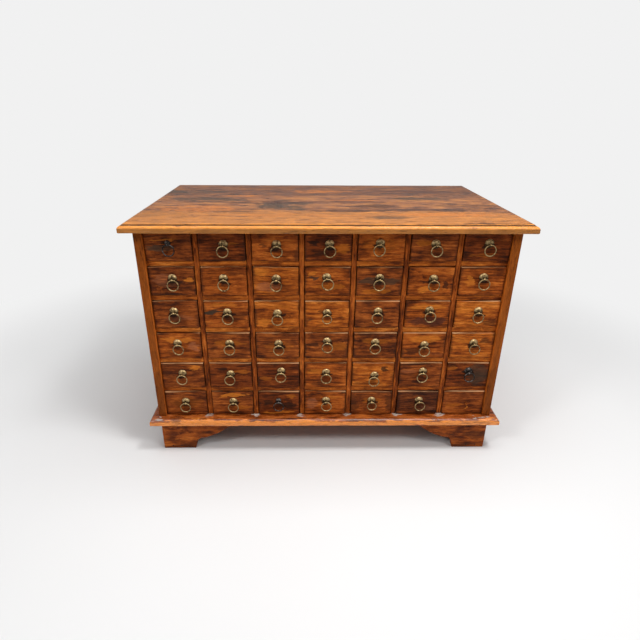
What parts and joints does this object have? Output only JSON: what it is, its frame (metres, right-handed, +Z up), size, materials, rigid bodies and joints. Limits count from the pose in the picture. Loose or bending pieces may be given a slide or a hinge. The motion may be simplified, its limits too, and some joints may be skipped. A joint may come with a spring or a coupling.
{
  "type": "seed storage cabinet",
  "caption": "Floor-standing chest of small ring-pull drawers in a wooden grid, under a moulded top and on a moulded base with bracket feet.",
  "frame": {"origin": "on the floor, in the middle of the footprint of the top board", "axes": "+X to the right as seen from the front, +Y towards the back, +Z up; the drawers open towards -Y"},
  "size_m": [1.056, 0.633, 0.708],
  "materials": {
    "top_wood": "satin varnish over reddish-brown hardwood planks",
    "carcass_wood": "satin varnish over reddish-brown hardwood",
    "drawer_wood": "satin varnish over mixed orange and dark brown hardwood",
    "aged_brass": "aged brass, dark in the recesses",
    "dark_iron": "dark iron nails"
  },
  "bodies": {
    "cabinet": {"top_board": "top_wood", "left_side": "carcass_wood", "right_side": "carcass_wood", "column_dividers": "carcass_wood", "drawer_shelves": "carcass_wood", "back_boards": "carcass_wood", "base_board": "carcass_wood", "front_brackets": "carcass_wood", "side_brackets": "carcass_wood", "corner_blocks": "carcass_wood", "foot_nails": "dark_iron"},
    "drawer_r1_c1": {"drawer_r1_c1": "drawer_wood"},
    "drawer_r1_c2": {"drawer_r1_c2": "drawer_wood"},
    "drawer_r1_c3": {"drawer_r1_c3": "drawer_wood"},
    "drawer_r1_c4": {"drawer_r1_c4": "drawer_wood"},
    "drawer_r1_c5": {"drawer_r1_c5": "drawer_wood"},
    "drawer_r1_c6": {"drawer_r1_c6": "drawer_wood"},
    "drawer_r1_c7": {"drawer_r1_c7": "drawer_wood"},
    "drawer_r2_c1": {"drawer_r2_c1": "drawer_wood"},
    "drawer_r2_c2": {"drawer_r2_c2": "drawer_wood"},
    "drawer_r2_c3": {"drawer_r2_c3": "drawer_wood"},
    "drawer_r2_c4": {"drawer_r2_c4": "drawer_wood"},
    "drawer_r2_c5": {"drawer_r2_c5": "drawer_wood"},
    "drawer_r2_c6": {"drawer_r2_c6": "drawer_wood"},
    "drawer_r2_c7": {"drawer_r2_c7": "drawer_wood"},
    "drawer_r3_c1": {"drawer_r3_c1": "drawer_wood"},
    "drawer_r3_c2": {"drawer_r3_c2": "drawer_wood"},
    "drawer_r3_c3": {"drawer_r3_c3": "drawer_wood"},
    "drawer_r3_c4": {"drawer_r3_c4": "drawer_wood"},
    "drawer_r3_c5": {"drawer_r3_c5": "drawer_wood"},
    "drawer_r3_c6": {"drawer_r3_c6": "drawer_wood"},
    "drawer_r3_c7": {"drawer_r3_c7": "drawer_wood"},
    "drawer_r4_c1": {"drawer_r4_c1": "drawer_wood"},
    "drawer_r4_c2": {"drawer_r4_c2": "drawer_wood"},
    "drawer_r4_c3": {"drawer_r4_c3": "drawer_wood"},
    "drawer_r4_c4": {"drawer_r4_c4": "drawer_wood"},
    "drawer_r4_c5": {"drawer_r4_c5": "drawer_wood"},
    "drawer_r4_c6": {"drawer_r4_c6": "drawer_wood"},
    "drawer_r4_c7": {"drawer_r4_c7": "drawer_wood"},
    "drawer_r5_c1": {"drawer_r5_c1": "drawer_wood"},
    "drawer_r5_c2": {"drawer_r5_c2": "drawer_wood"},
    "drawer_r5_c3": {"drawer_r5_c3": "drawer_wood"},
    "drawer_r5_c4": {"drawer_r5_c4": "drawer_wood"},
    "drawer_r5_c5": {"drawer_r5_c5": "drawer_wood"},
    "drawer_r5_c6": {"drawer_r5_c6": "drawer_wood"},
    "drawer_r5_c7": {"drawer_r5_c7": "drawer_wood"},
    "drawer_r6_c1": {"drawer_r6_c1": "drawer_wood"},
    "drawer_r6_c2": {"drawer_r6_c2": "drawer_wood"},
    "drawer_r6_c3": {"drawer_r6_c3": "drawer_wood"},
    "drawer_r6_c4": {"drawer_r6_c4": "drawer_wood"},
    "drawer_r6_c5": {"drawer_r6_c5": "drawer_wood"},
    "drawer_r6_c6": {"drawer_r6_c6": "drawer_wood"},
    "drawer_r6_c7": {"drawer_r6_c7": "drawer_wood"},
    "ring_r1_c1": {"ring_r1_c1": "aged_brass"},
    "ring_r1_c2": {"ring_r1_c2": "aged_brass"},
    "ring_r1_c3": {"ring_r1_c3": "aged_brass"},
    "ring_r1_c4": {"ring_r1_c4": "aged_brass"},
    "ring_r1_c5": {"ring_r1_c5": "aged_brass"},
    "ring_r1_c6": {"ring_r1_c6": "aged_brass"},
    "ring_r1_c7": {"ring_r1_c7": "aged_brass"}
  },
  "joints": [
    {"name": "drawer_slide_r1_c1", "type": "slide", "parent": "cabinet", "child": "drawer_r1_c1", "axis": [0, -1, 0], "range_m": [0, 0.461]},
    {"name": "drawer_slide_r1_c2", "type": "slide", "parent": "cabinet", "child": "drawer_r1_c2", "axis": [0, -1, 0], "range_m": [0, 0.461]},
    {"name": "drawer_slide_r1_c3", "type": "slide", "parent": "cabinet", "child": "drawer_r1_c3", "axis": [0, -1, 0], "range_m": [0, 0.461]},
    {"name": "drawer_slide_r1_c4", "type": "slide", "parent": "cabinet", "child": "drawer_r1_c4", "axis": [0, -1, 0], "range_m": [0, 0.461]},
    {"name": "drawer_slide_r1_c5", "type": "slide", "parent": "cabinet", "child": "drawer_r1_c5", "axis": [0, -1, 0], "range_m": [0, 0.461]},
    {"name": "drawer_slide_r1_c6", "type": "slide", "parent": "cabinet", "child": "drawer_r1_c6", "axis": [0, -1, 0], "range_m": [0, 0.461]},
    {"name": "drawer_slide_r1_c7", "type": "slide", "parent": "cabinet", "child": "drawer_r1_c7", "axis": [0, -1, 0], "range_m": [0, 0.461]},
    {"name": "drawer_slide_r2_c1", "type": "slide", "parent": "cabinet", "child": "drawer_r2_c1", "axis": [0, -1, 0], "range_m": [0, 0.461]},
    {"name": "drawer_slide_r2_c2", "type": "slide", "parent": "cabinet", "child": "drawer_r2_c2", "axis": [0, -1, 0], "range_m": [0, 0.461]},
    {"name": "drawer_slide_r2_c3", "type": "slide", "parent": "cabinet", "child": "drawer_r2_c3", "axis": [0, -1, 0], "range_m": [0, 0.461]},
    {"name": "drawer_slide_r2_c4", "type": "slide", "parent": "cabinet", "child": "drawer_r2_c4", "axis": [0, -1, 0], "range_m": [0, 0.461]},
    {"name": "drawer_slide_r2_c5", "type": "slide", "parent": "cabinet", "child": "drawer_r2_c5", "axis": [0, -1, 0], "range_m": [0, 0.461]},
    {"name": "drawer_slide_r2_c6", "type": "slide", "parent": "cabinet", "child": "drawer_r2_c6", "axis": [0, -1, 0], "range_m": [0, 0.461]},
    {"name": "drawer_slide_r2_c7", "type": "slide", "parent": "cabinet", "child": "drawer_r2_c7", "axis": [0, -1, 0], "range_m": [0, 0.461]},
    {"name": "drawer_slide_r3_c1", "type": "slide", "parent": "cabinet", "child": "drawer_r3_c1", "axis": [0, -1, 0], "range_m": [0, 0.461]},
    {"name": "drawer_slide_r3_c2", "type": "slide", "parent": "cabinet", "child": "drawer_r3_c2", "axis": [0, -1, 0], "range_m": [0, 0.461]},
    {"name": "drawer_slide_r3_c3", "type": "slide", "parent": "cabinet", "child": "drawer_r3_c3", "axis": [0, -1, 0], "range_m": [0, 0.461]},
    {"name": "drawer_slide_r3_c4", "type": "slide", "parent": "cabinet", "child": "drawer_r3_c4", "axis": [0, -1, 0], "range_m": [0, 0.461]},
    {"name": "drawer_slide_r3_c5", "type": "slide", "parent": "cabinet", "child": "drawer_r3_c5", "axis": [0, -1, 0], "range_m": [0, 0.461]},
    {"name": "drawer_slide_r3_c6", "type": "slide", "parent": "cabinet", "child": "drawer_r3_c6", "axis": [0, -1, 0], "range_m": [0, 0.461]},
    {"name": "drawer_slide_r3_c7", "type": "slide", "parent": "cabinet", "child": "drawer_r3_c7", "axis": [0, -1, 0], "range_m": [0, 0.461]},
    {"name": "drawer_slide_r4_c1", "type": "slide", "parent": "cabinet", "child": "drawer_r4_c1", "axis": [0, -1, 0], "range_m": [0, 0.461]},
    {"name": "drawer_slide_r4_c2", "type": "slide", "parent": "cabinet", "child": "drawer_r4_c2", "axis": [0, -1, 0], "range_m": [0, 0.461]},
    {"name": "drawer_slide_r4_c3", "type": "slide", "parent": "cabinet", "child": "drawer_r4_c3", "axis": [0, -1, 0], "range_m": [0, 0.461]},
    {"name": "drawer_slide_r4_c4", "type": "slide", "parent": "cabinet", "child": "drawer_r4_c4", "axis": [0, -1, 0], "range_m": [0, 0.461]},
    {"name": "drawer_slide_r4_c5", "type": "slide", "parent": "cabinet", "child": "drawer_r4_c5", "axis": [0, -1, 0], "range_m": [0, 0.461]},
    {"name": "drawer_slide_r4_c6", "type": "slide", "parent": "cabinet", "child": "drawer_r4_c6", "axis": [0, -1, 0], "range_m": [0, 0.461]},
    {"name": "drawer_slide_r4_c7", "type": "slide", "parent": "cabinet", "child": "drawer_r4_c7", "axis": [0, -1, 0], "range_m": [0, 0.461]},
    {"name": "drawer_slide_r5_c1", "type": "slide", "parent": "cabinet", "child": "drawer_r5_c1", "axis": [0, -1, 0], "range_m": [0, 0.461]},
    {"name": "drawer_slide_r5_c2", "type": "slide", "parent": "cabinet", "child": "drawer_r5_c2", "axis": [0, -1, 0], "range_m": [0, 0.461]},
    {"name": "drawer_slide_r5_c3", "type": "slide", "parent": "cabinet", "child": "drawer_r5_c3", "axis": [0, -1, 0], "range_m": [0, 0.461]},
    {"name": "drawer_slide_r5_c4", "type": "slide", "parent": "cabinet", "child": "drawer_r5_c4", "axis": [0, -1, 0], "range_m": [0, 0.461]},
    {"name": "drawer_slide_r5_c5", "type": "slide", "parent": "cabinet", "child": "drawer_r5_c5", "axis": [0, -1, 0], "range_m": [0, 0.461]},
    {"name": "drawer_slide_r5_c6", "type": "slide", "parent": "cabinet", "child": "drawer_r5_c6", "axis": [0, -1, 0], "range_m": [0, 0.461]},
    {"name": "drawer_slide_r5_c7", "type": "slide", "parent": "cabinet", "child": "drawer_r5_c7", "axis": [0, -1, 0], "range_m": [0, 0.461]},
    {"name": "drawer_slide_r6_c1", "type": "slide", "parent": "cabinet", "child": "drawer_r6_c1", "axis": [0, -1, 0], "range_m": [0, 0.461]},
    {"name": "drawer_slide_r6_c2", "type": "slide", "parent": "cabinet", "child": "drawer_r6_c2", "axis": [0, -1, 0], "range_m": [0, 0.461]},
    {"name": "drawer_slide_r6_c3", "type": "slide", "parent": "cabinet", "child": "drawer_r6_c3", "axis": [0, -1, 0], "range_m": [0, 0.461]},
    {"name": "drawer_slide_r6_c4", "type": "slide", "parent": "cabinet", "child": "drawer_r6_c4", "axis": [0, -1, 0], "range_m": [0, 0.461]},
    {"name": "drawer_slide_r6_c5", "type": "slide", "parent": "cabinet", "child": "drawer_r6_c5", "axis": [0, -1, 0], "range_m": [0, 0.461]},
    {"name": "drawer_slide_r6_c6", "type": "slide", "parent": "cabinet", "child": "drawer_r6_c6", "axis": [0, -1, 0], "range_m": [0, 0.461]},
    {"name": "drawer_slide_r6_c7", "type": "slide", "parent": "cabinet", "child": "drawer_r6_c7", "axis": [0, -1, 0], "range_m": [0, 0.461]},
    {"name": "ring_hinge_r1_c1", "type": "hinge", "parent": "drawer_r1_c1", "child": "ring_r1_c1", "pos_m": [-0.41571, -0.2885, 0.64992], "axis": [-1, 0, 0], "range_deg": [-10, 190]},
    {"name": "ring_hinge_r1_c2", "type": "hinge", "parent": "drawer_r1_c2", "child": "ring_r1_c2", "pos_m": [-0.27214, -0.2885, 0.64592], "axis": [-1, 0, 0], "range_deg": [-10, 190]},
    {"name": "ring_hinge_r1_c3", "type": "hinge", "parent": "drawer_r1_c3", "child": "ring_r1_c3", "pos_m": [-0.13457, -0.2885, 0.64592], "axis": [-1, 0, 0], "range_deg": [-10, 190]},
    {"name": "ring_hinge_r1_c4", "type": "hinge", "parent": "drawer_r1_c4", "child": "ring_r1_c4", "pos_m": [0.003, -0.2885, 0.64692], "axis": [-1, 0, 0], "range_deg": [-10, 190]},
    {"name": "ring_hinge_r1_c5", "type": "hinge", "parent": "drawer_r1_c5", "child": "ring_r1_c5", "pos_m": [0.13457, -0.2885, 0.64992], "axis": [-1, 0, 0], "range_deg": [-10, 190]},
    {"name": "ring_hinge_r1_c6", "type": "hinge", "parent": "drawer_r1_c6", "child": "ring_r1_c6", "pos_m": [0.27914, -0.2885, 0.64792], "axis": [-1, 0, 0], "range_deg": [-10, 190]},
    {"name": "ring_hinge_r1_c7", "type": "hinge", "parent": "drawer_r1_c7", "child": "ring_r1_c7", "pos_m": [0.41871, -0.2885, 0.64992], "axis": [-1, 0, 0], "range_deg": [-10, 190]}
  ]
}
